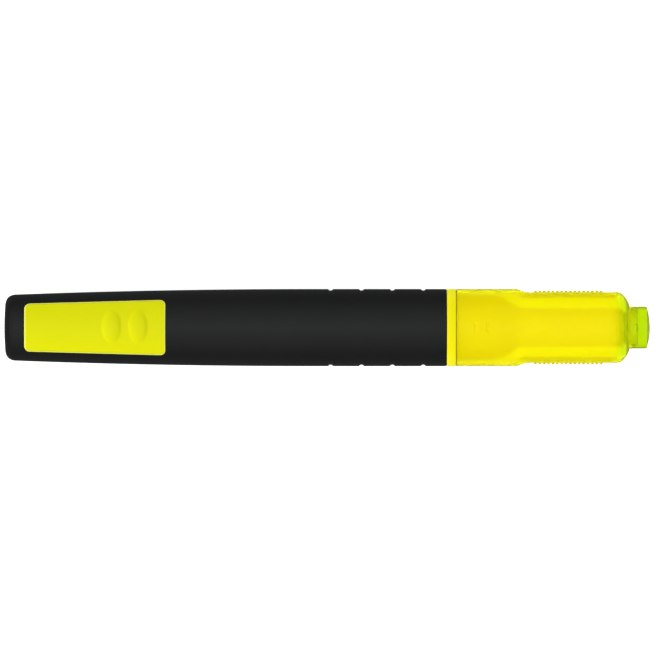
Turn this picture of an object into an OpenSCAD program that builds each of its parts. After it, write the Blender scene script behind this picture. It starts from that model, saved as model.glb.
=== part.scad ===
// Capped highlighter pen lying on its side.
// +X points from the tail to the cap, +Z is up, and the panel faces up.
// The origin is under the middle of the pen, on the surface it lies on.

/* [Whole pen] */
// Largest radius of the barrel, ring and cap rim
pen_r = 8.375; // [8.2:0.005:8.6]
// Distance from the middle of the pen to each end
half_len = 70; // [69.5:0.1:70.5]

/* [Barrel] */
// Place where the sleeve ends and the ring starts
sleeve_front = 25.97; // [25.5:0.01:26.5]
// Place where the barrel starts to taper towards the tail
taper_start = -4; // [-8:0.5:4]
// Radius of the long arc of the taper
taper_arc = 1704; // [1600:2:1900]
// Thickness of the soft sleeve
sleeve_t = 1.0; // [0.8:0.05:1.1]
// Radius of the rounded corner at the tail
tail_round = 2.6; // [2.2:0.1:3]

/* [Grip notches] */
// Number of notches on each side
notch_count = 4; // [2:1:4]
// Place of the rearmost notch
notch_first = 0.76; // [0:0.02:2]
// Distance from notch to notch
notch_pitch = 6.7; // [6:0.1:6.8]
// Depth of a notch
notch_depth = 0.31; // [0.2:0.01:0.4]
// Angle that a notch spans round the pen
notch_span = 54; // [40:1:60]

/* [Panel] */
// Rear edge of the window in the sleeve
panel_rear = -65.66; // [-66:0.02:-65]
// Front edge of the window in the sleeve
panel_front = -34.93; // [-36:0.01:-34]
// Half width of the window at its rear edge
panel_rear_w = 5.34; // [5:0.02:5.5]
// Half width of the window at its front edge
panel_front_w = 6.11; // [5.8:0.01:6.2]
// Gap between the panel and the window
panel_gap = 0.12; // [0.08:0.01:0.2]
// Height of the panel above the sleeve
panel_proud = 0.08; // [0:0.01:0.1]

/* [Front section] */
// Width of the visible ring between the sleeve and the cap
ring_w = 1.89; // [1.6:0.01:2.1]
// Radius of the collar that carries the cap
collar_r = 7.27; // [7.2:0.01:7.28]
// Place where the collar ends
collar_end = 35.3; // [34.8:0.1:35.6]
// Place where the nose cone ends
nose_end = 41.3; // [41:0.1:41.5]
// Place where the nib tube ends
tube_end = 49.5; // [48:0.1:50]

/* [Ink] */
// Radius of the fibre rod
rod_r = 4.95; // [4.8:0.05:4.95]
// Radius of the nib
nib_r = 2.5; // [2.2:0.1:2.5]
// Place of the nib's tip
nib_tip = 58; // [57:0.1:58]
// Thickness of the chisel edge
nib_edge = 1.8; // [1.4:0.1:2.4]

/* [Cap] */
// Gap between the ring and the cap's rim
cap_gap = 0.1; // [0.05:0.01:0.15]
// Bore radius of the cap near its mouth
cap_bore = 7.38; // [7.36:0.01:7.4]
// Bore radius of the cap beyond the front section
cap_deep_bore = 7.12; // [7:0.02:7.14]
// Distance of each finger flat from the pen's axis
flat_y = 7.66; // [7.6:0.01:7.8]
// Place where the finger flats reach their full depth
flat_start = 44; // [43.6:0.1:44.2]
// Place where the domed end starts
dome_start = 60.95; // [60.5:0.05:61.2]
// Radius of the arc of the domed end
dome_arc = 4.74; // [4.6:0.02:4.8]
// Radius of the neck and of the end button
neck_r = 4.55; // [4.4:0.01:4.7]
// Place where the end button meets the neck
neck_end = 67.2; // [67:0.05:67.4]

/* [Hidden] */
$fn = 96;

soft_black = "#222324";
core_black = "#2e2f31";
panel_yellow = "#dde108";
ring_yellow = "#f3e918";
clear_yellow = [0.93, 0.92, 0.05, 0.6];
liner_yellow = [0.96, 0.90, 0.10, 0.6];
fibre_yellow = "#e3e81a";
film_clear = [0.92, 0.94, 0.90, 0.5];

// barrel
taper_steps = 16;
round_steps = 8;
tail_corner = -half_len + 0.17 + tail_round;
edge_round = 0.3;
notch_round = 0.6;
core_floor = 1.4;
core_bore_rear = 5.25;
core_bore_front = 6.3;
plug_rear = 12;
rib_count = 6;
rib_t = 0.8;
rib_clear_r = rod_r + 0.12;
peg_r = 1.0;
peg_places = [-60, -36.6];
socket_depth = 0.7;

// panel
rear_corner = 1.25;
front_corner = 1.15;
bump_places = [-46.7, -41.0];
bump_r = 5.6;
bump_height = 0.45;
bump_y = 0.2;

// front section
ring_front = sleeve_front + ring_w;
ring_edge = 0.25;
groove_x = 33.4;
groove_depth = 0.2;
shoulder_r = 6.85;
shoulder_end = 37.6;
nose_r = 4.6;
seal_r = 3.35;
seal_end = 44;
tube_r = 3.15;
socket_r = rod_r + 0.12;
socket_end = 28;
vent_w = 0.6;
vent_depth = 0.35;

// ink
rod_rear = -66.4;
rod_front = 27;
film_t = 0.1;
film_end_gap = 1.5;
chisel_start = 52;
chisel_slant = 42;

// cap
cap_rim = ring_front + cap_gap;
rim_edge = 0.2;
flat_run_arc = 5.1;
bore_step = 41.7;
bore_step_end = 43.7;
bead_r = 7.30;
bead_w = 0.9;
dome_centre_r = pen_r - dome_arc;
inner_arc = cap_deep_bore - dome_centre_r;
inner_face_r = 4.45;
inner_face = dome_start + sqrt(pow(inner_arc, 2) - pow(inner_face_r - dome_centre_r, 2));
stem_r = 3.7;
liner_r = 4.2;
liner_bore = 3.4;
liner_mouth = nose_end + 0.1;
liner_floor = 62.6;
spigot_r = 2.0;
spigot_floor = 64.2;
button_edge = 69.3;
rib_places = [for (i = [0:15]) 45.2 + 0.95 * i];
rib_r = 0.26;
rib_rise = 0.09;
rib_len = 3.2;

// Radius of the barrel's outside at a place along the pen
function barrel_r(x) = pen_r - (x < taper_start ? pow(taper_start - x, 2) / (2 * taper_arc) : 0);

// Points along an arc as [along, radius]
function arc(cx, cr, r, from, to, steps) =
    [for (i = [0:steps]) let (a = from + (to - from) * i / steps) [cx + r * cos(a), cr + r * sin(a)]];

// Outline of the barrel's outside, a distance t under the surface, from the tail's centre to x = front
function barrel_line(t, front) =
    let (corner_r = tail_round - t,
         centre_r = barrel_r(tail_corner) - tail_round,
         step = (taper_start - tail_corner) / taper_steps)
    concat(
        [[-half_len + t, 0]],
        arc(tail_corner, centre_r, corner_r, 180, 95, round_steps),
        [for (i = [0:taper_steps]) let (x = tail_corner + step * i) [x, barrel_r(x) - t]],
        [[front, pen_r - t]]);

// Solid of revolution about the pen's axis from [along, radius] points
module lathe(points) {
    translate([0, 0, pen_r])
        rotate([0, 90, 0])
            rotate_extrude()
                polygon([for (p = points) [p[1], p[0]]]);
}

// Plain round bar along the pen
module bar(from, to, r) {
    translate([from, 0, pen_r])
        rotate([0, 90, 0])
            cylinder(h = to - from, r = r);
}

// Outside of the barrel, t under the surface, closed at x = front
module barrel_solid(t, front) {
    lathe(concat(barrel_line(t, front), [[front, 0]]));
}

// Window outline seen from above, shrunk by gap
module panel_outline(gap) {
    slope = atan((panel_front_w - panel_rear_w) / (panel_front - panel_rear));
    xr = panel_rear + gap;
    xf = panel_front - gap;
    rear_w = panel_rear_w - gap;
    front_w = panel_front_w - gap;
    side = concat(
        arc(xf - front_corner, front_w - front_corner, front_corner, 0, 90 + slope, 6),
        arc(xr + rear_corner, rear_w - rear_corner, rear_corner, 90 + slope, 180, 6));
    mirrored = [for (i = [len(side) - 1:-1:0]) [side[i][0], -side[i][1]]];
    polygon(concat(side, mirrored));
}

// Upright prism over the window
module panel_prism(gap) {
    translate([0, 0, pen_r + 1])
        linear_extrude(height = pen_r)
            panel_outline(gap);
}

// Short pegs that hold the panel, grown by extra
module panel_pegs(depth, extra) {
    for (x = peg_places)
        translate([x, 0, pen_r + barrel_r(x) - sleeve_t - depth])
            cylinder(h = depth + 0.5, r = peg_r + extra);
}

// Rounded cut for one notch on the +Y side
module notch(x) {
    translate([x, 0, pen_r])
        rotate([0, 90, 0])
            rotate([0, 0, 90 - notch_span / 2])
                rotate_extrude(angle = notch_span)
                    translate([pen_r - notch_depth + notch_round, 0])
                        circle(r = notch_round, $fn = 32);
}

module barrel_core() {
    color(core_black)
    difference() {
        union() {
            difference() {
                barrel_solid(sleeve_t, sleeve_front);
                lathe([[-half_len + sleeve_t + core_floor, 0],
                       [-half_len + sleeve_t + core_floor, core_bore_rear - 0.4],
                       [-half_len + sleeve_t + core_floor + 0.4, core_bore_rear],
                       [plug_rear, core_bore_front],
                       [sleeve_front + 1, core_bore_front],
                       [sleeve_front + 1, 0]]);
            }
            core_ribs();
        }
        panel_pegs(socket_depth, 0);
    }
}

// Ribs inside the core that centre the reservoir
module core_ribs() {
    rear = -half_len + sleeve_t + core_floor - 0.3;
    front = plug_rear - 1;
    difference() {
        intersection() {
            lathe([[rear, 0], [rear, core_bore_rear + 0.1], [front, core_bore_front + 0.1], [front, 0]]);
            translate([0, 0, pen_r])
                for (i = [0:rib_count / 2 - 1])
                    rotate([i * 360 / rib_count, 0, 0])
                        translate([rear, -rib_t / 2, -pen_r])
                            cube([front - rear, rib_t, 2 * pen_r]);
        }
        bar(rod_rear - 0.2, front + 1, rib_clear_r);
    }
}

module grip_sleeve() {
    color(soft_black)
    difference() {
        lathe(concat(
            barrel_line(0, sleeve_front - edge_round),
            arc(sleeve_front - edge_round, pen_r - edge_round, edge_round, 80, 0, 4),
            [[sleeve_front, 0]]));
        barrel_solid(sleeve_t, sleeve_front + 1);
        panel_prism(0);
        for (i = [0:notch_count - 1]) {
            notch(notch_first + notch_pitch * i);
            mirror([0, 1, 0])
                notch(notch_first + notch_pitch * i);
        }
    }
}

module panel_inlay() {
    color(panel_yellow)
    union() {
        intersection() {
            panel_prism(panel_gap);
            difference() {
                union() {
                    barrel_solid(-panel_proud, panel_front + 5);
                    for (x = bump_places)
                        translate([x, bump_y, pen_r + barrel_r(x) + bump_height - bump_r])
                            sphere(r = bump_r);
                }
                barrel_solid(sleeve_t, panel_front + 6);
            }
        }
        intersection() {
            panel_pegs(socket_depth, 0);
            barrel_solid(sleeve_t - 0.3, panel_front + 5);
        }
    }
}

module reservoir_core() {
    color(fibre_yellow)
    bar(rod_rear, rod_front, rod_r - film_t);
}

module reservoir_wrap() {
    color(film_clear)
    difference() {
        bar(rod_rear + film_end_gap, rod_front - film_end_gap, rod_r);
        bar(rod_rear, rod_front, rod_r - film_t);
    }
}

module front_section() {
    color(ring_yellow)
    difference() {
        lathe([[plug_rear, 0],
               [plug_rear, core_bore_front - 0.3],
               [plug_rear + 0.6, core_bore_front],
               [sleeve_front, core_bore_front],
               [sleeve_front, pen_r - ring_edge],
               [sleeve_front + ring_edge, pen_r],
               [ring_front - ring_edge, pen_r],
               [ring_front, pen_r - ring_edge],
               [ring_front, collar_r],
               [groove_x - bead_w, collar_r],
               [groove_x - bead_w / 2, collar_r - groove_depth],
               [groove_x + bead_w / 2, collar_r - groove_depth],
               [groove_x + bead_w, collar_r],
               [collar_end, collar_r],
               [collar_end + 0.3, shoulder_r],
               [shoulder_end, shoulder_r],
               [nose_end, nose_r],
               [nose_end, seal_r],
               [seal_end, seal_r],
               [seal_end + 0.4, tube_r],
               [tube_end - 0.3, tube_r],
               [tube_end, tube_r - 0.3],
               [tube_end, 0]]);
        bar(plug_rear - 1, socket_end, socket_r);
        bar(socket_end - 1, tube_end + 1, nib_r);
        nib_vents();
    }
}

// Air grooves along the nib bore
module nib_vents() {
    for (side = [0, 180])
        translate([0, 0, pen_r])
            rotate([side, 0, 0])
                translate([socket_end - 1, -vent_w / 2, 0])
                    cube([tube_end - socket_end + 2, vent_w, nib_r + vent_depth]);
}

module nib() {
    color(fibre_yellow)
    difference() {
        bar(rod_front, nib_tip, nib_r);
        nib_bevel();
        mirror([0, 0, 1])
            translate([0, 0, -2 * pen_r])
                nib_bevel();
        translate([nib_tip, -nib_r, 0])
            rotate([0, 0, chisel_slant])
                translate([0, -2 * nib_r, 0])
                    cube([4 * nib_r, 6 * nib_r, 2 * pen_r]);
    }
}

// Wedge that thins the upper side of the nib towards its edge
module nib_bevel() {
    lean = atan((nib_r - nib_edge / 2) / (nib_tip - chisel_start));
    translate([nib_tip, -2 * nib_r, pen_r + nib_edge / 2])
        rotate([0, lean, 0])
            translate([-4 * nib_r, 0, 0])
                cube([6 * nib_r, 4 * nib_r, 4 * nib_r]);
}

// Outline of the cap seen from above, with the two finger flats
module cap_outline() {
    run_angle = acos(1 - (pen_r + 0.1 - flat_y) / flat_run_arc);
    side = concat(
        [[cap_rim - 1, pen_r + 1]],
        [[flat_start - flat_run_arc * sin(run_angle), pen_r + 1]],
        arc(flat_start, flat_y + flat_run_arc, flat_run_arc, -90 - run_angle, -90, 6),
        [[neck_end + 1, flat_y]]);
    mirrored = [for (i = [len(side) - 1:-1:0]) [side[i][0], -side[i][1]]];
    polygon(concat(side, mirrored));
}

module cap_shell() {
    color(clear_yellow)
    union() {
        difference() {
            intersection() {
                lathe(concat(
                    [[cap_rim, 0], [cap_rim, pen_r - rim_edge], [cap_rim + rim_edge, pen_r]],
                    arc(dome_start, dome_centre_r, dome_arc, 90, asin((neck_r - dome_centre_r) / dome_arc), 14),
                    [[neck_end, neck_r], [neck_end, 0]]));
                translate([0, 0, -1])
                    linear_extrude(height = 2 * pen_r + 2)
                        cap_outline();
            }
            cap_hollow();
        }
        cap_ribs();
    }
}

// Space inside the cap shell, with the snap bead left standing
module cap_hollow() {
    lathe(concat(
        [[cap_rim - 1, 0],
         [cap_rim - 1, cap_bore + 0.15],
         [cap_rim, cap_bore + 0.15],
         [cap_rim + 0.3, cap_bore],
         [groove_x - bead_w / 2, cap_bore],
         [groove_x - bead_w / 6, bead_r],
         [groove_x + bead_w / 6, bead_r],
         [groove_x + bead_w / 2, cap_bore],
         [bore_step, cap_bore],
         [bore_step_end, cap_deep_bore]],
        arc(dome_start, dome_centre_r, inner_arc, 90, asin((inner_face_r - dome_centre_r) / inner_arc), 10),
        [[inner_face, stem_r], [neck_end + 1, stem_r], [neck_end + 1, 0]]));
}

// Short plain ribs on both finger flats
module cap_ribs() {
    for (x = rib_places, side = [-1, 1])
        translate([x, side * (flat_y + rib_rise), pen_r - rib_len / 2])
            cylinder(h = rib_len, r = rib_r, $fn = 32);
}

module cap_liner() {
    color(liner_yellow)
    difference() {
        lathe([[liner_mouth, 0],
               [liner_mouth, liner_r - 0.15],
               [liner_mouth + 0.15, liner_r],
               [inner_face, liner_r],
               [inner_face, stem_r],
               [neck_end, stem_r],
               [neck_end, 0]]);
        lathe([[liner_mouth - 1, 0],
               [liner_mouth - 1, liner_bore + 0.3],
               [liner_mouth, liner_bore + 0.3],
               [liner_mouth + 0.4, liner_bore],
               [liner_floor - 0.5, liner_bore],
               [liner_floor, liner_bore - 0.5],
               [liner_floor, 0]]);
        bar(spigot_floor, neck_end + 1, spigot_r);
    }
}

module cap_end_button() {
    dome_r = (pow(neck_r, 2) + pow(half_len - button_edge, 2)) / (2 * (half_len - button_edge));
    edge = asin(neck_r / dome_r);
    color(clear_yellow)
    union() {
        lathe(concat(
            [[neck_end, 0], [neck_end, neck_r - 0.15], [neck_end + 0.15, neck_r]],
            arc(half_len - dome_r, 0, dome_r, edge, 0, 8)));
        bar(spigot_floor + 0.1, neck_end + 0.5, spigot_r);
    }
}

barrel_core();
grip_sleeve();
panel_inlay();
reservoir_core();
reservoir_wrap();
front_section();
nib();
cap_shell();
cap_liner();
cap_end_button();
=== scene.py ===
"""Looks of the capped highlighter: detailed meshes, materials, floor, lights and camera.

Lengths are in millimetres until build() turns them into metres. A point on the pen is given by x, its
place along the pen, its radius r from the pen's axis, and its angle from the top towards +Y.
"""

import math

import bmesh
import bpy
import numpy as np
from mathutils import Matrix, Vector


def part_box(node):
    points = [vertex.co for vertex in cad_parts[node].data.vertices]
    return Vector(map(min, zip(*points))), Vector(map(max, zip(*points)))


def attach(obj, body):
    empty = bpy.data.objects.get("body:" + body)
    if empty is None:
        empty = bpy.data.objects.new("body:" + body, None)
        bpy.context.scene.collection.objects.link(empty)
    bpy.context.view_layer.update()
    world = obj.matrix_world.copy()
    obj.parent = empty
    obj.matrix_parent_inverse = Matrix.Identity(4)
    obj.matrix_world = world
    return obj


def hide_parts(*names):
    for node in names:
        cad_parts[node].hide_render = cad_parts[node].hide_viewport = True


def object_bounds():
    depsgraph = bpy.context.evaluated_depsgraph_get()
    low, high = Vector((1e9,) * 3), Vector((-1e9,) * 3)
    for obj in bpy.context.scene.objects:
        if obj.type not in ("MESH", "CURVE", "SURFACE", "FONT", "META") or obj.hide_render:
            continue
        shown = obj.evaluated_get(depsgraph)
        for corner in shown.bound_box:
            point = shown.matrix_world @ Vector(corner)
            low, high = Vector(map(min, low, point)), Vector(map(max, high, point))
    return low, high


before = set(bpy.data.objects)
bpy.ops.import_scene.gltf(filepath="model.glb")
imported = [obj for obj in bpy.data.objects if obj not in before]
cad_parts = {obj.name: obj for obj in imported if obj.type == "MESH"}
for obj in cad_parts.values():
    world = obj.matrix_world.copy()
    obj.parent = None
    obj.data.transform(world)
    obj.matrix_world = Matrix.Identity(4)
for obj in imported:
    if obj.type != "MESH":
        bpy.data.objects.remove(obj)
cad_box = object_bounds()

MM = 0.001
WHITE = (1.0, 1.0, 1.0, 1.0)


def box_mm(node):
    """Lowest and highest corner of a CAD node in millimetres."""
    low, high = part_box(node)
    return np.array(low) / MM, np.array(high) / MM


# Driving places, from the frame
PEN_LOW, PEN_HIGH = (np.array(corner) / MM for corner in cad_box)
PEN_R = (PEN_HIGH[1] - PEN_LOW[1]) / 2
AXIS_Z = PEN_LOW[2] + PEN_R
TAIL_END = PEN_LOW[0]
CAP_END = PEN_HIGH[0]
SLEEVE_FRONT = box_mm("grip_sleeve")[1][0]
PANEL_LOW, PANEL_HIGH = box_mm("panel_inlay")
SECTION_REAR, SECTION_FRONT = (corner[0] for corner in box_mm("front_section"))
NIB_REAR, NIB_TIP = (corner[0] for corner in box_mm("nib"))
NIB_R = (box_mm("nib")[1][1] - box_mm("nib")[0][1]) / 2
CAP_RIM, NECK_END = (corner[0] for corner in box_mm("cap_shell"))
LINER_MOUTH = box_mm("cap_liner")[0][0]
LINER_R = (box_mm("cap_liner")[1][1] - box_mm("cap_liner")[0][1]) / 2
BUTTON_R = (box_mm("cap_end_button")[1][1] - box_mm("cap_end_button")[0][1]) / 2
SPIGOT_REAR = box_mm("cap_end_button")[0][0]

# Barrel
TAPER_START = SLEEVE_FRONT - 29.97
TAPER_ARC = 1704.0
SLEEVE_T = 1.0
TAIL_ROUND = 2.6
TAIL_FULLNESS = 0.82
TAIL_DOME = 0.17
TAIL_CORNER = TAIL_END + TAIL_DOME + TAIL_ROUND
FRONT_EDGE = 0.3

# Window and panel
PANEL_GAP = 0.08
CAD_GAP = 0.12
WINDOW_REAR = PANEL_LOW[0] - CAD_GAP
WINDOW_FRONT = PANEL_HIGH[0] + CAD_GAP
WINDOW_FRONT_W = PANEL_HIGH[1] + CAD_GAP
WINDOW_REAR_W = WINDOW_FRONT_W - 0.77
REAR_CORNER = 1.25
FRONT_CORNER = 1.15
WINDOW_LIP = 0.1
PANEL_PROUD = 0.08
PANEL_BEVEL = 0.28
BUMP_PLACES = (-46.7, -41.0)
BUMP_HALF = (2.1, 3.6)
BUMP_HEIGHT = 0.45
BUMP_Y = 0.2
PATCH_ANGLE = math.radians(58)
PATCH_MARGIN = (1.04, 1.5)
CORNER_CELLS = 5
LONG_CELLS = 104
SHORT_CELLS = 44

# Grip notches
NOTCH_PLACES = [SLEEVE_FRONT - 25.21 + 6.7 * i for i in range(4)]
NOTCH_DEPTH = 0.31
NOTCH_ROUND = 0.6
NOTCH_HALF_SPAN = math.radians(27)
NOTCH_FADE = math.radians(5)

# Cap
FLAT_Y = 7.66
FLAT_START = CAP_RIM + 16.04
FLAT_RUN_ARC = 5.1
FLAT_BLEND = 0.3
DOME_START = NECK_END - 6.25
DOME_ARC = 4.74
DOME_GREEN_FROM = DOME_START + 1.2
DOME_CENTRE_R = PEN_R - DOME_ARC
CAP_BORE = 7.38
DEEP_BORE = 7.12
INNER_ARC = DEEP_BORE - DOME_CENTRE_R
STEM_R = 3.7
LINER_SEAT_R = LINER_R + 0.25
RIB_PLACES = [NECK_END - 22.0 + 0.95 * i for i in range(16)]
RIB_HALF_W = 0.31
RIB_HEIGHT = 0.4
RIB_HALF_LEN = 1.6
# share of painted shade that darkens the ribs' colour
RIB_PAINTED_SHADE = 0.5
MARK_PLACES = [CAP_RIM + 4.3, CAP_RIM + 6.9]
MARK_HALF = (0.55, 1.1)
MARK_EDGE = 0.25
MARK_DEPTH = 0.16


def arc(cx, cr, radius, start, end, steps):
    """Points along an arc in the (x, r) plane, with angles in degrees from +x."""
    angles = np.radians(np.linspace(start, end, steps + 1))
    return [(cx + radius * math.cos(a), cr + radius * math.sin(a)) for a in angles]


def filleted(points, radius, steps=5):
    """The outline with its corners rounded. A point may give its own radius as a third number."""
    count = len(points)
    out = []
    for i, point in enumerate(points):
        here = np.array(point[:2], float)
        turn = point[2] if len(point) > 2 else radius
        if turn <= 0 or i in (0, count - 1):
            out.append(tuple(here))
            continue
        before = np.array(points[i - 1][:2], float) - here
        after = np.array(points[i + 1][:2], float) - here
        to_before, to_after = before / np.linalg.norm(before), after / np.linalg.norm(after)
        half = math.acos(np.clip(to_before @ to_after, -1, 1)) / 2
        if half > math.radians(88):
            out.append(tuple(here))
            continue
        cut = min(turn / math.tan(half), 0.45 * np.linalg.norm(before), 0.45 * np.linalg.norm(after))
        real = cut * math.tan(half)
        middle = to_before + to_after
        centre = here + middle / np.linalg.norm(middle) * real / math.sin(half)
        start, end = here + to_before * cut - centre, here + to_after * cut - centre
        a0 = math.atan2(start[1], start[0])
        sweep = (math.atan2(end[1], end[0]) - a0 + math.pi) % (2 * math.pi) - math.pi
        for k in range(steps + 1):
            a = a0 + sweep * k / steps
            out.append((centre[0] + real * math.cos(a), centre[1] + real * math.sin(a)))
    return out


def dense(points, step):
    """The same outline with its long stretches cut into pieces no longer than step."""
    out = [points[0]]
    for a, b in zip(points, points[1:]):
        pieces = max(1, math.ceil(math.dist(a, b) / step))
        shares = [k / pieces for k in range(1, pieces + 1)]
        out += [(a[0] + (b[0] - a[0]) * share, a[1] + (b[1] - a[1]) * share) for share in shares]
    return out


def span(start, end, step):
    """Evenly spaced places from start up to, and without, end."""
    return list(np.linspace(start, end, max(1, round(abs(end - start) / step)), endpoint=False))


def at(x, r, angle):
    """The point in space, in millimetres."""
    return (x, r * math.sin(angle), AXIS_Z + r * math.cos(angle))


def smooth_min(a, b, blend):
    """The smaller of two lengths, with the edge between them rounded."""
    h = min(max(0.5 + 0.5 * (b - a) / blend, 0.0), 1.0)
    return b + (a - b) * h - blend * h * (1 - h)


def fade(t):
    """Smooth step from 0 to 1."""
    t = min(max(t, 0.0), 1.0)
    return t * t * (3 - 2 * t)


def build(name, points, faces, body, material, replaces=(), edge=None):
    """A finished piece: welded, outward-facing and smooth, riding on its body.

    edge says how much each point lies on an edge where a material paints a highlight or shade.
    """
    mesh = bpy.data.meshes.new(name)
    mesh.from_pydata([tuple(c * MM for c in p) for p in points], [], faces)
    if edge is not None:
        mesh.attributes.new("edge", "FLOAT", "POINT").data.foreach_set("value", edge)
    bm = bmesh.new()
    bm.from_mesh(mesh)
    bmesh.ops.remove_doubles(bm, verts=bm.verts, dist=1e-7)
    bmesh.ops.dissolve_degenerate(bm, edges=bm.edges, dist=1e-8)
    bmesh.ops.recalc_face_normals(bm, faces=bm.faces)
    for face in bm.faces:
        face.smooth = True
    bm.to_mesh(mesh)
    bm.free()
    mesh.materials.append(material)
    piece = bpy.data.objects.new(name, mesh)
    bpy.context.scene.collection.objects.link(piece)
    weighted = piece.modifiers.new("even_shading", "WEIGHTED_NORMAL")
    weighted.keep_sharp = False
    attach(piece, body)
    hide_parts(*replaces)
    return piece


def lathe(outline, angles, shape=None, closed=True):
    """Points and faces of a solid of revolution. shape(x, r, angle, row) may change a point's radius."""
    points, faces, rows = [], [], []
    for row, (x, r) in enumerate(outline):
        if r < 1e-6:
            rows.append([len(points)])
            points.append(at(x, 0.0, 0.0))
            continue
        rows.append(list(range(len(points), len(points) + len(angles))))
        points += [at(x, shape(x, r, a, row) if shape else r, a) for a in angles]
    pairs = list(zip(rows, rows[1:])) + ([(rows[-1], rows[0])] if closed else [])
    for low, high in pairs:
        for i in range(len(angles)):
            j = (i + 1) % len(angles)
            if len(low) == 1 and len(high) == 1:
                continue
            if len(low) == 1:
                faces.append((low[0], high[j], high[i]))
            elif len(high) == 1:
                faces.append((low[i], low[j], high[0]))
            else:
                faces.append((low[i], low[j], high[j], high[i]))
    return points, faces


def even_angles(count):
    return [2 * math.pi * i / count for i in range(count)]


# ---------------------------------------------------------------- barrel shape
def barrel_r(x):
    """Radius of the barrel's outside: straight at the front, a long arc towards the tail."""
    return PEN_R - (max(TAPER_START - x, 0.0) ** 2) / (2 * TAPER_ARC)


def tail_line(inset):
    """Outline of the tail from its centre to the start of the taper, inset under the surface."""
    centre_r = barrel_r(TAIL_CORNER) - TAIL_ROUND
    dome = [(TAIL_END + inset + TAIL_DOME * (s / 4) ** 2, centre_r * s / 4) for s in range(4)]
    corner = []
    round_r = TAIL_ROUND - inset
    for turn in np.radians(np.linspace(180, 94, 18)):
        across, out = abs(math.cos(turn)) ** TAIL_FULLNESS, math.sin(turn) ** TAIL_FULLNESS
        corner.append((TAIL_CORNER - round_r * across, centre_r + round_r * out))
    return dome + corner


def window_outline(gap):
    """Plan outline of the window, shrunk by gap, as four lists of (x, y).

    Each list runs from the middle of one corner to the middle of the next. The order is front, left,
    rear, right, where left is the +Y side.
    """
    slope = math.atan2(WINDOW_FRONT_W - WINDOW_REAR_W, WINDOW_FRONT - WINDOW_REAR)
    tilt = math.degrees(slope)
    front, rear = WINDOW_FRONT - gap, WINDOW_REAR + gap
    front_w, rear_w = WINDOW_FRONT_W - gap, WINDOW_REAR_W - gap
    round_front, round_rear = FRONT_CORNER - gap, REAR_CORNER - gap
    mid_front, mid_rear = (90 + tilt) / 2, (270 + tilt) / 2
    first = (front - round_front, front_w - round_front)
    second = (rear + round_rear, rear_w - round_rear)
    front_half = arc(*first, round_front, 0, mid_front, CORNER_CELLS)
    left = join_lines(
        arc(*first, round_front, mid_front, 90 + tilt, CORNER_CELLS),
        arc(*second, round_rear, 90 + tilt, mid_rear, CORNER_CELLS),
        LONG_CELLS,
    )
    rear_half = arc(*second, round_rear, mid_rear, 180, CORNER_CELLS)
    front_side = join_lines([(x, -y) for x, y in reversed(front_half)], front_half, SHORT_CELLS)
    rear_side = join_lines(rear_half, [(x, -y) for x, y in reversed(rear_half)], SHORT_CELLS)
    right = [(x, -y) for x, y in reversed(left)]
    return front_side, left, rear_side, right


def join_lines(first, last, cells):
    """Two point lists with a straight stretch of the given number of cells between them."""
    a, b = np.array(first[-1]), np.array(last[0])
    between = [tuple(a + (b - a) * k / cells) for k in range(1, cells)]
    return first + between + last


def ring_of(sides):
    """One closed loop from four sides that share their corner points."""
    return [p for side in sides for p in side[:-1]]


def patch_grid(sides):
    """Transfinite grid inside four sides, as rows from rear to front and columns from right to left."""
    front, left, rear, right = (np.array(s) for s in sides)
    rear, left = rear[::-1], left[::-1]
    rows, columns = len(left), len(front)
    grid = np.zeros((rows, columns, 2))
    for i in range(rows):
        u = i / (rows - 1)
        for j in range(columns):
            v = j / (columns - 1)
            rear_corners = (1 - v) * rear[0] + v * rear[-1]
            front_corners = (1 - v) * front[0] + v * front[-1]
            corners = (1 - u) * rear_corners + u * front_corners
            grid[i, j] = (1 - u) * rear[j] + u * front[j] + (1 - v) * right[i] + v * left[i] - corners
    return grid


def loop_faces(first, second, count):
    """Quads between two closed loops of points that start at these indices."""
    steps = [(i, (i + 1) % count) for i in range(count)]
    return [(first + i, first + j, second + j, second + i) for i, j in steps]


def grid_faces(start, rows, columns, flip=False):
    faces = []
    for i in range(rows - 1):
        for j in range(columns - 1):
            a = start + i * columns + j
            quad = (a, a + 1, a + columns + 1, a + columns)
            faces.append(quad[::-1] if flip else quad)
    return faces


# ---------------------------------------------------------------- black sleeve
def sleeve_columns():
    """Angles round the sleeve: the patch over the window first, then finer ones across the notches."""
    cells = SHORT_CELLS + 2 * CORNER_CELLS
    over = list(np.linspace(-PATCH_ANGLE, PATCH_ANGLE, cells + 1))
    side = math.radians(122)
    fine = list(np.linspace(PATCH_ANGLE, side, 48, endpoint=False))[1:]
    under = list(np.linspace(side, 2 * math.pi - side, 40, endpoint=False))
    fine_back = list(np.linspace(2 * math.pi - side, 2 * math.pi - PATCH_ANGLE, 48, endpoint=False))
    return over + fine + under + fine_back, cells


def notch_drop(x, angle):
    """How far the grip notches lower the surface."""
    off_side = abs(abs(math.remainder(angle, 2 * math.pi)) - math.pi / 2)
    along = fade((NOTCH_HALF_SPAN - off_side) / NOTCH_FADE)
    if along <= 0:
        return 0.0
    near = min(abs(x - place) for place in NOTCH_PLACES)
    half = math.sqrt(NOTCH_ROUND**2 - (NOTCH_ROUND - NOTCH_DEPTH) ** 2)
    if near >= half:
        return 0.0
    return along * (math.sqrt(NOTCH_ROUND**2 - near**2) - (NOTCH_ROUND - NOTCH_DEPTH))


def sleeve_places():
    """Places of the rows ahead of the window patch."""
    places = []
    here = WINDOW_FRONT + PATCH_MARGIN[1]
    for notch in NOTCH_PLACES:
        places += span(here, notch - 0.7, 1.2) + span(notch - 0.7, notch + 0.7, 0.07)
        here = notch + 0.7
    return places + span(here, SLEEVE_FRONT - FRONT_EDGE, 0.8)


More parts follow.
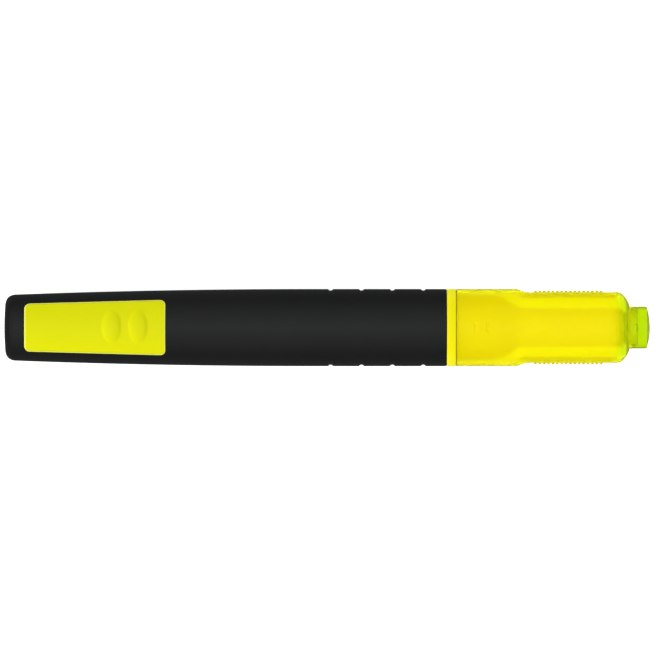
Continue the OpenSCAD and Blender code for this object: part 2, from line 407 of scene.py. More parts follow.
def make_sleeve(material):
    angles, cells = sleeve_columns()
    long_cells = LONG_CELLS + 2 * CORNER_CELLS
    patch_rear, patch_front = WINDOW_REAR - PATCH_MARGIN[0], WINDOW_FRONT + PATCH_MARGIN[1]
    patch_x = list(np.linspace(patch_rear, patch_front, long_cells + 1))
    tail_outer, tail_inner = tail_line(0.0), tail_line(SLEEVE_T)
    plain_places = span(patch_front, SLEEVE_FRONT - FRONT_EDGE, 1.6)
    points, faces = [], []

    def tube(tail, depth, places, front):
        """Adds one skin of the sleeve, with the patch left out."""
        rows = tail + [(x, barrel_r(x) - depth) for x in patch_x + places[1:]] + front
        first_patch = len(tail)
        start = len(points)
        shape = (lambda x, r, a, row: r - notch_drop(x, a)) if depth == 0 else None
        more, quads = lathe(rows, angles, shape, closed=False)
        points.extend(more)
        per = len(angles)
        pole_rows = 1
        for quad in quads:
            ring = [(q - pole_rows) // per + 1 if q else 0 for q in quad]
            column = [(q - pole_rows) % per for q in quad if q]
            inside = min(ring) >= first_patch and max(ring) <= first_patch + long_cells
            if inside and max(column) <= cells and max(column) - min(column) == 1:
                continue
            faces.append([start + q for q in quad])

    edge = arc(SLEEVE_FRONT - FRONT_EDGE, PEN_R - FRONT_EDGE, FRONT_EDGE, 90, 0, 6)
    tube(tail_outer, 0.0, sleeve_places(), edge + [(SLEEVE_FRONT, PEN_R - SLEEVE_T)])
    tube(tail_inner, SLEEVE_T, plain_places, [(SLEEVE_FRONT, PEN_R - SLEEVE_T)])

    left = [(x, PATCH_ANGLE) for x in reversed(patch_x)]
    across = [float(a) for a in angles[: cells + 1]]
    rectangle = ring_of([
        [(patch_front, a) for a in across],
        left,
        [(patch_rear, a) for a in reversed(across)],
        [(x, -a) for x, a in reversed(left)],
    ])

    def plan_loop(gap):
        return [(x, math.asin(y / barrel_r(x))) for x, y in ring_of(window_outline(gap))]

    def skin_loops(lip, depth):
        """Loops from the window's edge out to the patch's border, as (x, angle, drop)."""
        loops = []
        if lip:
            for k in range(6):
                turn = math.radians(90 * k / 5)
                out = WINDOW_LIP * (1 - math.cos(turn))
                drop = WINDOW_LIP * (1 - math.sin(turn))
                loops.append([(x, a, drop) for x, a in plan_loop(-out)])
        else:
            loops.append([(x, a, depth) for x, a in plan_loop(0)])
        for out in (0.3, 0.55):
            loops.append([(x, a, depth) for x, a in plan_loop(-out)])
        last = loops[-1]
        for share in (1 / 3, 2 / 3, 1):
            loops.append([
                (x + (bx - x) * share, a + (ba - a) * share, depth)
                for (x, a, _), (bx, ba) in zip(last, rectangle)
            ])
        return loops

    outer, inner = skin_loops(True, 0.0), skin_loops(False, SLEEVE_T)
    loops = outer[::-1] + inner
    count = len(rectangle)
    for k, loop in enumerate(loops):
        start = len(points)
        points.extend(at(x, barrel_r(x) - drop, a) for x, a, drop in loop)
        if k:
            faces.extend(loop_faces(start - count, start, count))
    return build("soft_touch_sleeve", points, faces, "barrel", material, ["grip_sleeve"])


# ---------------------------------------------------------------- yellow panel
def panel_height(x, y):
    """Height of the panel's top over the pen's axis, with the two oval bumps blended in."""
    top = math.sqrt((barrel_r(x) + PANEL_PROUD) ** 2 - y**2)
    for place in BUMP_PLACES:
        inside = 1 - ((x - place) / BUMP_HALF[0]) ** 2 - ((y - BUMP_Y) / BUMP_HALF[1]) ** 2
        if inside > 0:
            top += (BUMP_HEIGHT - PANEL_PROUD) * inside ** 0.65 * fade(inside * 5)
    return top


def make_panel(material):
    points, faces = [], []
    count = len(ring_of(window_outline(0)))
    top_sides = window_outline(PANEL_GAP + PANEL_BEVEL)
    grid = patch_grid(top_sides)
    rows, columns = grid.shape[:2]
    for x, y in grid.reshape(-1, 2):
        points.append((x, y, AXIS_Z + panel_height(x, y)))
    faces += grid_faces(0, rows, columns)

    def loop(gap, drop):
        start = len(points)
        for x, y in ring_of(window_outline(gap)):
            angle = math.asin(y / barrel_r(x))
            points.append(at(x, barrel_r(x) + PANEL_PROUD - drop, angle))
        return start

    starts = []
    for k in range(8):
        turn = math.radians(90 * k / 7)
        out, down = 1 - math.sin(turn), 1 - math.cos(turn)
        starts.append(loop(PANEL_GAP + PANEL_BEVEL * out, PANEL_BEVEL * 0.8 * down))
    starts.append(loop(PANEL_GAP, SLEEVE_T))
    for a, b in zip(starts, starts[1:]):
        faces += loop_faces(a, b, count)
    under = len(points)
    for x, y in patch_grid(window_outline(PANEL_GAP)).reshape(-1, 2):
        angle = math.asin(y / barrel_r(x))
        points.append(at(x, barrel_r(x) + PANEL_PROUD - SLEEVE_T, angle))
    faces += grid_faces(under, rows, columns, flip=True)
    # the bevel loops are marked 1 for the painted highlight that the panel material gives them
    edge = [0.0] * len(points)
    for start in starts[1:7]:
        edge[start : start + count] = [1.0] * count
    return build("panel", points, faces, "barrel", material, ["panel_inlay"], edge)


# ---------------------------------------------------------------- yellow front section and nib
RING_REAR = SLEEVE_FRONT
RING_FRONT = CAP_RIM - 0.03
REAR_PLUG_R = 6.3
COLLAR_R = 7.27
COLLAR_FRONT = CAP_RIM + 7.34
BEAD_X = CAP_RIM + 5.44
BEAD_HALF_W = 0.7
BEAD_HEIGHT = 0.08
GROOVE_DEPTH = 0.2
WELL_R = NIB_R + 2.2
NIB_HOLE_R = NIB_R + 0.02
# width of the band painted as a highlight at the ring's rear edge and painted as shade at the cap's rim
PAINTED_EDGE_BAND = 0.12
NOSE_R = 6.85
NOSE_END = CAP_RIM + 9.64
CONE_END = CAP_RIM + 13.34
CONE_R = 4.6
SEAL_R = 3.35
SEAL_END = CAP_RIM + 16.04
TUBE_R = 3.15
CHISEL_START = NIB_TIP - 6.0
NIB_EDGE = 1.8
NIB_SLANT = math.radians(42)


def ring_profile(r, depth):
    """Five rounded points, rear to front, of a shallow ring sunk into radius r at the snap bead."""
    shares = ((-1.0, 0.0), (-0.5, 0.75), (0.0, 1.0), (0.5, 0.75), (1.0, 0.0))
    return [(BEAD_X + BEAD_HALF_W * across, r - depth * share, 0.3) for across, share in shares]


def make_section(material):
    groove = ring_profile(COLLAR_R, GROOVE_DEPTH)
    outline = [
        (SECTION_FRONT, NIB_HOLE_R),
        (SECTION_FRONT, TUBE_R, 0.25),
        (SEAL_END + 0.2, TUBE_R, 0.1),
        (SEAL_END, SEAL_R, 0.1),
        (CONE_END, SEAL_R, 0.2),
        (CONE_END, CONE_R, 0.25),
        (NOSE_END, NOSE_R, 1.2),
        (COLLAR_FRONT + 0.3, NOSE_R, 0.1),
        (COLLAR_FRONT, COLLAR_R, 0.12),
        *reversed(groove),
        (RING_FRONT, COLLAR_R, 0.1),
        (RING_FRONT, PEN_R, 0.14),
        (RING_REAR, PEN_R, 0.25),
        (RING_REAR, REAR_PLUG_R, 0.1),
        (SECTION_REAR, REAR_PLUG_R, 0.2),
        (SECTION_REAR, WELL_R),
    ]
    outline = dense(filleted(outline, 0.1), 1.5)
    bore = [
        (SECTION_REAR, WELL_R),
        (NIB_REAR, WELL_R),
        (NIB_REAR, NIB_HOLE_R),
        (SECTION_FRONT, NIB_HOLE_R),
    ]
    points, faces = lathe(outline + dense(bore, 2)[1:-1], even_angles(160))
    # a thin band at the ring's rear edge, painted pale as a highlight by the section material
    edge = [float(RING_REAR < p[0] < RING_REAR + PAINTED_EDGE_BAND) for p in points]
    return build(
        "ring_and_nose", points, faces, "barrel", material, ["front_section"], edge
    )


def make_nib(material):
    """Round fibre rod that thins to a slanted chisel edge."""
    around = even_angles(96)
    points, faces = [], []
    slope = (NIB_R - NIB_EDGE / 2) / (NIB_TIP - CHISEL_START)
    places = span(NIB_REAR + 0.2, CHISEL_START, 1.6) + span(CHISEL_START, NIB_TIP + 0.2, 0.2)
    loops = [(NIB_REAR, 0.82), (NIB_REAR + 0.1, 0.95)] + [(x, 1.0) for x in places]
    for x, shrink in loops:
        for a in around:
            y, z = NIB_R * shrink * math.cos(a), NIB_R * shrink * math.sin(a)
            lift = NIB_R - slope * max(x - CHISEL_START, 0)
            flat = smooth_min(abs(z), lift, 0.25)
            limit = NIB_TIP - (y + NIB_R) * math.tan(NIB_SLANT)
            points.append((smooth_min(x, limit, 0.3), y, AXIS_Z + math.copysign(flat, z)))
    count = len(around)
    for k in range(len(loops) - 1):
        faces += loop_faces(k * count, (k + 1) * count, count)
    faces.append(list(range(count))[::-1])
    last = len(points) - count
    rim = points[last:]
    middle = np.mean(rim, axis=0)
    for share in (0.96, 0.8, 0.5, 0.2):
        start = len(points)
        for p in rim:
            bulge = 0.06 * (1 - share)
            inner = middle + (np.array(p) - middle) * share
            points.append((min(inner[0] + bulge, NIB_TIP), inner[1], inner[2]))
        faces += loop_faces(start - count, start, count)
    faces.append(list(range(len(points) - count, len(points))))
    return build("chisel_nib", points, faces, "barrel", material, ["nib"])


# ---------------------------------------------------------------- translucent cap
def cap_columns():
    """Angles round the cap: close together over the recessed marks, the flats' edges and the ribs."""
    half = (
        span(0, math.radians(12), math.radians(1.2))
        + span(math.radians(12), math.radians(60), math.radians(3))
        + span(math.radians(60), math.radians(72), math.radians(0.8))
        + span(math.radians(72), math.radians(108), math.radians(1.1))
        + span(math.radians(108), math.radians(120), math.radians(0.8))
        + span(math.radians(120), math.pi, math.radians(3))
    )
    return half + [math.pi] + [2 * math.pi - a for a in reversed(half[1:])]


def cap_surface(x, r, angle):
    """Radius of the cap's outside once the two flats, their ribs and the recessed marks are in it."""
    side = abs(math.sin(angle))
    before = min(max(FLAT_START - x, 0.0), FLAT_RUN_ARC)
    flat = FLAT_Y + FLAT_RUN_ARC - math.sqrt(FLAT_RUN_ARC**2 - before**2)
    if side > 0.5 and r > CAP_BORE:
        near = min(abs(x - place) for place in RIB_PLACES)
        z = abs(r * math.cos(angle))
        if near < RIB_HALF_W and z < RIB_HALF_LEN:
            end = min(1.0, (RIB_HALF_LEN - z) / RIB_HALF_W)
            flat += RIB_HEIGHT * math.sqrt(1 - (near / RIB_HALF_W) ** 2) * math.sqrt(end * (2 - end))
        r = smooth_min(r, flat / side, FLAT_BLEND)
    across = r * math.sin(angle)
    if math.cos(angle) > 0:
        for place in MARK_PLACES:
            inside = min(MARK_HALF[0] - abs(x - place), MARK_HALF[1] - abs(across))
            r -= MARK_DEPTH * fade(inside / MARK_EDGE)
    return r


def rib_painted_shade(point):
    """The share of painted shade on the ribs, and 0 off them."""
    x, y, z = point[0], abs(point[1]), abs(point[2] - AXIS_Z)
    near = min(abs(x - place) for place in RIB_PLACES)
    on_rib = near < RIB_HALF_W and z < RIB_HALF_LEN and y > FLAT_Y + 0.04
    return RIB_PAINTED_SHADE * float(on_rib)


RIM_ROWS = 8


def cap_outer():
    """Outside of the cap from its rim to the end of its neck."""
    rib_start, rib_end = RIB_PLACES[0] - 0.6, RIB_PLACES[-1] + 0.6
    dome_end = math.degrees(math.asin((BUTTON_R - DOME_CENTRE_R) / DOME_ARC))
    places = (
        span(CAP_RIM + 0.2, MARK_PLACES[0] - 0.8, 0.8)
        + span(MARK_PLACES[0] - 0.8, MARK_PLACES[-1] + 0.8, 0.12)
        + span(MARK_PLACES[-1] + 0.8, FLAT_START - 3.0, 0.8)
        + span(FLAT_START - 3.0, rib_start, 0.2)
        + span(rib_start, rib_end, 0.09)
        + span(rib_end, DOME_START, 0.25)
    )
    dome = arc(DOME_START, DOME_CENTRE_R, DOME_ARC, 90, dome_end, 26)
    neck = filleted([dome[-2], dome[-1], (NECK_END, BUTTON_R)], 0.35, 6)
    edge = arc(CAP_RIM + 0.2, PEN_R - 0.2, 0.2, 180, 95, 6)
    return edge + [(x, PEN_R) for x in places] + dome[:-2] + dense(neck, 0.4)


def cap_inner():
    """Inside of the cap from its neck back to its rim, with the snap bead."""
    inner_face = DOME_START + math.sqrt(INNER_ARC**2 - (LINER_SEAT_R - DOME_CENTRE_R) ** 2)
    start = math.degrees(math.asin((LINER_SEAT_R - DOME_CENTRE_R) / INNER_ARC))
    dome = arc(DOME_START, DOME_CENTRE_R, INNER_ARC, start, 90, 16)
    tail = [
        (FLAT_START - 0.3, DEEP_BORE, 1.5),
        (CAP_RIM + 13.74, CAP_BORE, 1.5),
        *reversed(ring_profile(CAP_BORE, BEAD_HEIGHT)),
        (CAP_RIM + 0.35, CAP_BORE, 0.3),
        (CAP_RIM, CAP_BORE + 0.25),
    ]
    hole = [(NECK_END, STEM_R), (inner_face, STEM_R), (inner_face, LINER_SEAT_R)]
    return hole + dome[1:] + dense(filleted([dome[-1]] + tail, 0.3), 1.0)[1:]


def make_cap(material):
    outer = cap_outer()
    turn = len(outer)

    def shape(x, r, angle, row):
        return cap_surface(x, r, angle) if RIM_ROWS < row < turn else r

    points, faces = lathe(outer + cap_inner(), cap_columns(), shape)
    # painted shade: a thin band at the cap's rim and the tops of the ribs turn dark in the cap material
    edge = [max(float(p[0] < CAP_RIM + PAINTED_EDGE_BAND), rib_painted_shade(p)) for p in points]
    return build("cap", points, faces, "cap", material, ["cap_shell"], edge)


LINER_BORE = 3.4
LINER_FLOOR = NECK_END - 4.6
LINER_FACE = NECK_END - 2.9
SPIGOT_R = 2.0
BUTTON_DOME = 0.7


def make_liner(material):
    outline = [
        (LINER_MOUTH, LINER_BORE + 0.3),
        (LINER_MOUTH, LINER_R, 0.15),
        (LINER_FACE, LINER_R, 0.1),
        (LINER_FACE, STEM_R, 0.1),
        (NECK_END, STEM_R, 0.02),
        (NECK_END, SPIGOT_R, 0.02),
        (SPIGOT_REAR, SPIGOT_R, 0.02),
        (SPIGOT_REAR, 0.0),
    ]
    inside = [
        (LINER_FLOOR, 0.0),
        (LINER_FLOOR, LINER_BORE, 0.5),
        (LINER_MOUTH + 0.4, LINER_BORE, 0.3),
        (LINER_MOUTH, LINER_BORE + 0.3),
    ]
    outline = dense(filleted(outline, 0.1), 1.5) + dense(filleted(inside, 0.1), 1.5)[:-1]
    points, faces = lathe(outline, even_angles(128))
    return build("seal_liner", points, faces, "cap", material, ["cap_liner"])


def make_button(material):
    edge_x = CAP_END - BUTTON_DOME
    dome_r = (BUTTON_R**2 + BUTTON_DOME**2) / (2 * BUTTON_DOME)
    start = math.degrees(math.asin((BUTTON_R - 0.2) / dome_r))
    dome = arc(CAP_END - dome_r, 0, dome_r, start, 0, 10)
    outline = [
        (SPIGOT_REAR, 0.0),
        (SPIGOT_REAR, SPIGOT_R, 0.15),
        (NECK_END, SPIGOT_R, 0.02),
        (NECK_END, BUTTON_R, 0.18),
        (edge_x, BUTTON_R, 0.5),
        dome[0],
    ]
    outline = dense(filleted(outline, 0.1, 8), 0.5) + dome[1:-1] + [(CAP_END, 0.0)]
    points, faces = lathe(outline, even_angles(128), closed=False)
    return build(
        "cap_end_button_piece", points, faces, "cap", material, ["cap_end_button"]
    )


# ---------------------------------------------------------------- materials
class Nodes:
    """A material, or the world, with short calls to add and join its nodes."""

    def __init__(self, owner):
        owner.use_nodes = True
        self.tree = owner.node_tree
        self.tree.nodes.clear()
        self.owner = owner

    def add(self, kind, links=None, **values):
        """One node. values set its properties or unlinked inputs by name; links join its inputs."""
        node = self.tree.nodes.new(kind)
        for name, value in values.items():
            if hasattr(node, name):
                setattr(node, name, value)
            else:
                node.inputs[name.replace("_", " ")].default_value = value
        for name, socket in (links or {}).items():
            self.tree.links.new(socket, node.inputs[name])
        return node

    def place(self):
        return self.add("ShaderNodeTexCoord").outputs["Object"]

    def noise(self, scale, detail=3.0, roughness=0.5, stretch=None):
        where = self.place()
        if stretch:
            where = self.add("ShaderNodeMapping", {"Vector": where}, Scale=stretch).outputs["Vector"]
        node = self.add(
            "ShaderNodeTexNoise", {"Vector": where}, Scale=scale, Detail=detail, Roughness=roughness
        )
        return node.outputs["Fac"]

    def ramp(self, factor, *stops):
        """Colour ramp over the factor. A stop is (position, colour)."""
        node = self.add("ShaderNodeValToRGB", {"Fac": factor})
        node.color_ramp.interpolation = "B_SPLINE"
        elements = node.color_ramp.elements
        while len(elements) < len(stops):
            elements.new(1.0)
        for element, (position, colour) in zip(elements, stops):
            element.position = position
            element.color = (*colour, 1.0)
        return node.outputs["Color"]

    def range(self, factor, low, high):
        return self.add("ShaderNodeMapRange", {"Value": factor}, To_Min=low, To_Max=high).outputs["Result"]

    def bump(self, height, strength, distance):
        node = self.add("ShaderNodeBump", {"Height": height}, Strength=strength, Distance=distance)
        return node.outputs["Normal"]

    def edge(self):
        """How much the place lies on an edge that gets a painted highlight or painted shade, as build()
        was told.
        """
        return self.add("ShaderNodeAttribute", attribute_name="edge").outputs["Fac"]

    def paint_edge_light_and_shade(self, colour, other, share):
        """The colour, turned towards another one on the edges: a painted highlight where the other is
        pale, painted shade where it is dark.
        """
        mix = self.add("ShaderNodeMix", data_type="RGBA")
        self.tree.links.new(self.range(self.edge(), 0.0, share), mix.inputs["Factor"])
        self.tree.links.new(colour, mix.inputs[6])
        mix.inputs[7].default_value = (*other, 1.0)
        return mix.outputs[2]

    def surface(self, shader, volume=None):
        out = self.add("ShaderNodeOutputMaterial", {"Surface": shader})
        if volume:
            self.tree.links.new(volume, out.inputs["Volume"])
        return self.owner

    def plastic(self, links, **values):
        node = self.add("ShaderNodeBsdfPrincipled", links)
        for name, value in values.items():
            node.inputs[name.replace("_", " ")].default_value = value
        return node.outputs["BSDF"]


# The clear plastic: what gets through it, the glow painted on as emission in its dye's colour, the painted
# shade on its rim and ribs, the greener tone of its haze past the liner, the tint of its reflections, and
# the tone of its clearer end. Then how long the change to green is, in millimetres, and how much the haze
# drifts from place to place.
DYE_CLARITY = (0.966, 0.982, 0.07, 1.0)
DYE_PAINTED_GLOW = (1.0, 0.74, 0.0, 1.0)
PAINTED_RIM_AND_RIB_SHADE = (0.06, 0.08, 0.0)
STEM_TINT = (0.8, 1.0, 0.002, 1.0)
SHEEN_TINT = (1.0, 0.95, 0.25, 1.0)
GREEN_GLASS = (0.62, 0.84, 0.0, 1.0)
GREEN_RUN = 2.5
HAZE_DRIFT = 0.04


def new_material(name):
    return Nodes(bpy.data.materials.new(name))


def soft_black_material():
    """Satin soft-touch rubber: nearly black, with a very fine grain and faint handling marks."""
    n = new_material("soft_touch_black")
    cloud = n.noise(90.0, 4.0, 0.6)
    colour = n.ramp(cloud, (0.3, (0.0042, 0.0045, 0.0043)), (0.7, (0.0058, 0.0061, 0.0059)))
    rough = n.range(n.noise(240.0, 4.0, 0.6), 0.4, 0.5)
    grain = n.bump(n.noise(9000.0, 2.0, 0.5), 0.12, 0.00003)
    links = {"Base Color": colour, "Roughness": rough, "Normal": grain}
    return n.surface(n.plastic(links, Specular_IOR_Level=0.5))


def core_black_material():
    n = new_material("moulded_core_black")
    colour = n.ramp(n.noise(120.0), (0.3, (0.008, 0.008, 0.009)), (0.7, (0.013, 0.013, 0.014)))
    grain = n.bump(n.noise(4000.0, 2.0, 0.5), 0.1, 0.00003)
    links = {"Base Color": colour, "Normal": grain}
    return n.surface(n.plastic(links, Roughness=0.5, Specular_IOR_Level=0.3))


def panel_material():
    """Semi-gloss moulded plastic, fluorescent yellow-green, with soft flow marks, a painted highlight
    along its bevel and a faint painted glow.
    """
    n = new_material("moulded_panel_yellow")
    flow = n.noise(60.0, 3.0, 0.55, stretch=(0.35, 1.0, 1.0))
    colour = n.ramp(flow, (0.3, (0.75, 0.74, 0.002)), (0.7, (0.79, 0.77, 0.003)))
    # painted highlight: the bevel turns pale yellow
    colour = n.paint_edge_light_and_shade(colour, (1.0, 1.0, 0.2), 1.0)
    rough = n.range(n.noise(300.0, 3.0, 0.6), 0.26, 0.36)
    skin = n.bump(n.noise(2600.0, 3.0, 0.5), 0.06, 0.00004)
    return n.surface(n.plastic(
        {"Base Color": colour, "Roughness": rough, "Normal": skin},
        Specular_IOR_Level=0.1,
        # painted glow: faint constant emission standing in for the dye's fluorescence
        Emission_Color=(0.95, 0.95, 0.0, 1.0),
        Emission_Strength=0.06,
        Subsurface_Weight=0.25,
        Subsurface_Radius=(0.0006, 0.0006, 0.00005),
        Subsurface_Scale=1.0,
    ))


def section_material():
    """Opaque moulded plastic of the ring and nose, a warmer yellow, with a painted highlight along the
    ring's rear edge and a painted glow.
    """
    n = new_material("moulded_section_yellow")
    colour = n.ramp(n.noise(70.0), (0.3, (0.88, 0.78, 0.003)), (0.7, (0.91, 0.81, 0.005)))
    # painted highlight: pale yellow on the ring's rear edge
    colour = n.paint_edge_light_and_shade(colour, (1.0, 1.0, 0.15), 0.6)
    rough = n.range(n.noise(300.0), 0.25, 0.35)
    skin = n.bump(n.noise(2400.0, 3.0, 0.5), 0.06, 0.00004)
    return n.surface(n.plastic(
        {"Base Color": colour, "Roughness": rough, "Normal": skin},
        Specular_IOR_Level=0.1,
        # painted glow: constant emission standing in for the dye's fluorescence
        Emission_Color=(1.0, 0.8, 0.0, 1.0),
        Emission_Strength=0.16,
        Subsurface_Weight=0.2,
        Subsurface_Radius=(0.0006, 0.0006, 0.00005),
        Subsurface_Scale=1.0,
    ))


def clear_material(name, haze, colour, density, glow, rough, wave, shine, green_from=None, far_haze=1.0):
    """Dyed translucent plastic, whose dye soaks up blue, with a painted glow of yellow emission standing
    in for its fluorescence.

    haze is the share that scatters at the skin instead of letting light through, density how much dye
    there is per metre, glow how strong the painted glow of emission is per metre, and shine the same
    painted glow at the skin. wave is how fine the skin's waves are. Past green_from, a place along the
    pen, the colour is STEM_TINT and only the far_haze share of the haze is left.
    """
    n = new_material(name)
    skin = n.bump(n.noise(wave, 2.0, 0.5), 0.004, 0.00003)
    tint = n.ramp(n.noise(80.0), (0.3, colour), (0.7, tuple(min(1.0, 1.04 * c) for c in colour)))
    # painted shade: the rim band and the ribs turn dark olive
    tint = n.paint_edge_light_and_shade(tint, PAINTED_RIM_AND_RIB_SHADE, 1.0)
    if green_from is not None:
        along = n.add("ShaderNodeSeparateXYZ", {"Vector": n.place()}).outputs["X"]
        start, end = green_from * MM, (green_from + GREEN_RUN) * MM
        far = n.add("ShaderNodeMapRange", {"Value": along}, From_Min=start, From_Max=end)
        far = far.outputs["Result"]
        tint = n.add("ShaderNodeMixRGB", {"Fac": far, "Color1": tint}, Color2=STEM_TINT).outputs["Color"]
    links = {"Normal": skin}
    if green_from is not None:
        greener = n.range(far, 0.0, 1.0 - far_haze)
        glass_tint = n.add("ShaderNodeMixRGB", {"Fac": greener}, Color1=WHITE, Color2=GREEN_GLASS)
        links["Base Color"] = glass_tint.outputs["Color"]
    glass = n.plastic(
        links,
        Base_Color=WHITE,
        Roughness=rough,
        IOR=1.49,
        Specular_IOR_Level=0.12,
        Specular_Tint=SHEEN_TINT,
        Transmission_Weight=1.0,
    )
    edge = n.edge()
    # painted glow on the dye's skin, turned off on the edges that get painted shade
    dye = n.plastic(
        {"Base Color": tint, "Normal": skin, "Emission Strength": n.range(edge, shine, 0.0)},
        Roughness=rough + 0.1,
        Specular_IOR_Level=0.1,
        Emission_Color=DYE_PAINTED_GLOW,
        Subsurface_Weight=0.4,
        Subsurface_Radius=(0.0014, 0.0014, 0.0001),
        Subsurface_Scale=1.0,
    )
    spread = n.range(n.noise(45.0), haze - HAZE_DRIFT, haze + HAZE_DRIFT)
    if green_from is not None:
        left = n.range(far, 1.0, far_haze)
        spread = n.add("ShaderNodeMath", {0: spread, 1: left}, operation="MULTIPLY").outputs["Value"]
    # on the painted-shade edges the dark dye colour covers the whole skin
    spread = n.add("ShaderNodeMath", {0: spread, 1: edge}, operation="MAXIMUM").outputs["Value"]
    body = n.add("ShaderNodeMixShader", {"Fac": spread, 1: glass, 2: dye}).outputs["Shader"]
    soak = n.add("ShaderNodeVolumeAbsorption", Color=DYE_CLARITY, Density=density).outputs["Volume"]
    # painted glow: constant emission through the plastic, standing in for the dye's fluorescence
    painted_dye_glow = n.add("ShaderNodeEmission", Color=DYE_PAINTED_GLOW, Strength=glow).outputs["Emission"]
    return n.surface(body, n.add("ShaderNodeAddShader", {0: soak, 1: painted_dye_glow}).outputs["Shader"])


def fibre_material(name, dark, light):
    """Bonded fibres that run along the pen, soaked with ink."""
    n = new_material(name)
    strands = n.noise(5200.0, 4.0, 0.6, stretch=(0.06, 1.0, 1.0))
    colour = n.ramp(strands, (0.3, dark), (0.7, light))
    fuzz = n.bump(strands, 0.5, 0.00008)
    return n.surface(n.plastic(
        {"Base Color": colour, "Normal": fuzz},
        Roughness=0.8,
        Specular_IOR_Level=0.25,
        Sheen_Weight=0.3,
        Sheen_Roughness=0.4,
        Subsurface_Weight=0.2,
        Subsurface_Radius=(0.0006, 0.0006, 0.0001),
        Subsurface_Scale=1.0,
    ))


def film_material():
    n = new_material("clear_film")
    crinkle = n.bump(n.noise(900.0, 3.0, 0.5), 0.3, 0.00005)
    tint = n.ramp(n.noise(60.0), (0.3, (0.88, 0.92, 0.8)), (0.7, (0.95, 0.97, 0.9)))
    return n.surface(n.plastic(
        {"Base Color": tint, "Normal": crinkle}, Roughness=0.15, IOR=1.5, Transmission_Weight=0.85
    ))


# ---------------------------------------------------------------- floor, light and camera
CAMERA_HEIGHT = 3.0
FRAME_WIDTH = 0.14232
FRAME_SHIFT_X = 0.000195
FRAME_SHIFT_Y = -0.00009
SENSOR = 36.0
FLOOR_HALF = 6.0
FLOOR_GAP = 0.0001
FLOOR_GLOW = 0.75
LIGHT_AXIS = (-0.05, 0.0, 0.998)
SKY_TINT = (0.93, 1.0, 0.97)
SKY_STRENGTH = 1.2
THROUGH_STRENGTH = 1.75
GLOSS_STRENGTH = 0.72
KEY_TINT = (1.0, 0.93, 0.84)
KEY_PLACE = (-0.92, -0.2, 0.5)
KEY_SIZE = 0.3
KEY_WATTS = 6.0
# (place along the ramp, brightness): the sky from the horizon to overhead, and what the clear cap sees
# through itself from straight below to overhead, dark at the horizon to draw its edges
SKY_LEVELS = ((0.0, 0.2), (0.12, 0.04), (0.4, 0.48), (0.86, 0.58), (0.96, 0.95), (1.0, 1.0))
BEYOND_LEVELS = ((0.0, 1.0), (0.14, 1.0), (0.26, 0.15), (0.4, 0.0), (0.6, 0.0), (0.72, 0.8), (1.0, 1.0))


def make_floor():
    n = new_material("pale_floor")
    colour = n.ramp(n.noise(3.0), (0.3, (0.9, 0.9, 0.9)), (0.7, (0.93, 0.93, 0.93)))
    material = n.surface(n.plastic(
        {"Base Color": colour},
        Roughness=0.9,
        Specular_IOR_Level=0.1,
        Emission_Color=WHITE,
        Emission_Strength=FLOOR_GLOW,
    ))
    mesh = bpy.data.meshes.new("floor")
    half, z = FLOOR_HALF, PEN_LOW[2] * MM - FLOOR_GAP
    corners = [(-half, -half, z), (half, -half, z), (half, half, z), (-half, half, z)]
    mesh.from_pydata(corners, [], [(0, 1, 2, 3)])
    mesh.materials.append(material)
    floor = bpy.data.objects.new("floor", mesh)
    bpy.context.scene.collection.objects.link(floor)
    floor.visible_glossy = False
    floor.visible_transmission = False


def make_world():
    """Soft overhead studio sky: brightest above the pen and dark at the horizon, white to the camera."""
    world = bpy.data.worlds.new("studio")
    bpy.context.scene.world = world
    n = Nodes(world)
    way = n.add("ShaderNodeTexCoord").outputs["Generated"]
    height = n.add("ShaderNodeVectorMath", {0: way}, operation="DOT_PRODUCT")
    height.inputs[1].default_value = LIGHT_AXIS
    tinted = [(place, tuple(level * c for c in SKY_TINT)) for place, level in SKY_LEVELS]
    glow = n.ramp(height.outputs["Value"], *tinted)
    rise = n.add("ShaderNodeMapRange", {"Value": height.outputs["Value"]}, From_Min=-1.0).outputs["Result"]
    seen = n.ramp(rise, *[(place, (level, level, level)) for place, level in BEYOND_LEVELS])
    through = n.add("ShaderNodeBackground", {"Color": seen}, Strength=THROUGH_STRENGTH)
    sky = n.add("ShaderNodeBackground", {"Color": glow}, Strength=SKY_STRENGTH)
    shine = n.add("ShaderNodeBackground", {"Color": glow}, Strength=GLOSS_STRENGTH)
    backdrop = n.add("ShaderNodeBackground", Color=WHITE, Strength=1.0)
    path = n.add("ShaderNodeLightPath").outputs
    shader = sky.outputs["Background"]
    for ray, other in (("Glossy", shine), ("Transmission", through), ("Camera", backdrop)):
        links = {"Fac": path[f"Is {ray} Ray"], 1: shader, 2: other.outputs["Background"]}
        shader = n.add("ShaderNodeMixShader", links).outputs["Shader"]
    n.add("ShaderNodeOutputWorld", {"Surface": shader})


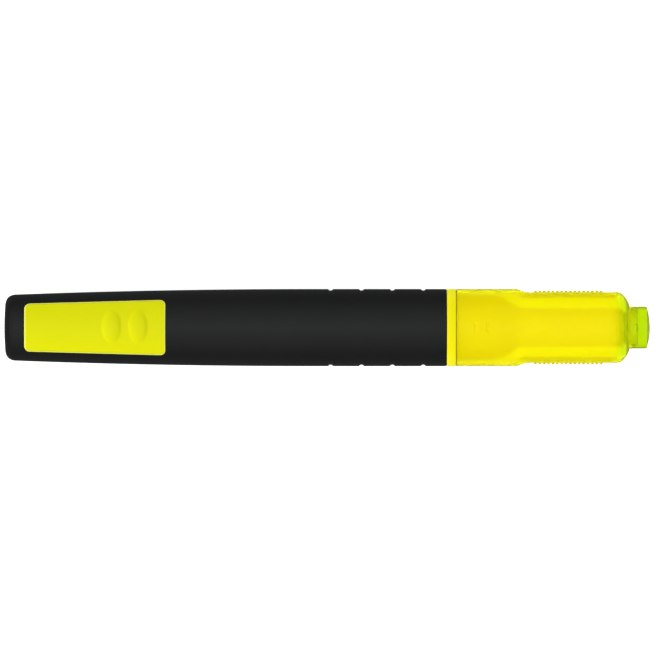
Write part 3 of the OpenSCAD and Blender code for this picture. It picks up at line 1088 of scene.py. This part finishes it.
def make_light(name, place, size, watts, tint):
    """Square softbox that faces the pen."""
    data = bpy.data.lights.new(name, "AREA")
    data.shape = "SQUARE"
    data.size = size
    data.energy = watts
    data.color = tint
    light = bpy.data.objects.new(name, data)
    light.location = place
    target = Vector((0.0, 0.0, AXIS_Z * MM))
    light.rotation_euler = (target - light.location).to_track_quat("-Z", "Y").to_euler()
    light.visible_camera = False
    light.visible_glossy = False
    bpy.context.scene.collection.objects.link(light)


def make_camera():
    data = bpy.data.cameras.new("camera")
    data.sensor_width = SENSOR
    data.lens = SENSOR * CAMERA_HEIGHT / FRAME_WIDTH
    data.clip_end = 20.0
    camera = bpy.data.objects.new("camera", data)
    centre = (PEN_LOW + PEN_HIGH) / 2 * MM
    camera.location = (centre[0] + FRAME_SHIFT_X, centre[1] + FRAME_SHIFT_Y, AXIS_Z * MM + CAMERA_HEIGHT)
    bpy.context.scene.collection.objects.link(camera)
    bpy.context.scene.camera = camera


def dress(node, material):
    """Gives a CAD node that stays its finished material."""
    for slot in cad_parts[node].material_slots:
        slot.material = material


# ---------------------------------------------------------------- the whole scene
def main():
    make_camera()
    make_world()
    make_floor()
    make_light("side_softbox", KEY_PLACE, KEY_SIZE, KEY_WATTS, KEY_TINT)

    make_sleeve(soft_black_material())
    make_panel(panel_material())
    make_section(section_material())
    make_nib(fibre_material("nib_fibre", (0.62, 0.66, 0.008), (0.84, 0.86, 0.02)))
    make_cap(clear_material(
        "clear_cap_yellow",
        haze=0.3,
        colour=(0.92, 0.78, 0.002),
        density=3000.0,
        glow=42.0,
        rough=0.02,
        wave=1500.0,
        shine=0.24,
        green_from=DOME_GREEN_FROM,
        far_haze=0.4,
    ))
    make_button(clear_material(
        "clear_button_yellow",
        haze=0.3,
        colour=(0.75, 0.95, 0.002),
        density=4200.0,
        glow=30.0,
        rough=0.02,
        wave=1500.0,
        shine=0.05,
    ))
    make_liner(clear_material(
        "liner_yellow",
        haze=0.8,
        colour=(1.0, 0.86, 0.003),
        density=3000.0,
        glow=40.0,
        rough=0.25,
        wave=2500.0,
        shine=0.2,
        green_from=LINER_FACE,
    ))

    dress("barrel_core", core_black_material())
    dress("reservoir_core", fibre_material("ink_fibre", (0.6, 0.64, 0.006), (0.8, 0.83, 0.015)))
    dress("reservoir_wrap", film_material())

    bpy.context.scene.view_settings.view_transform = "Standard"


main()
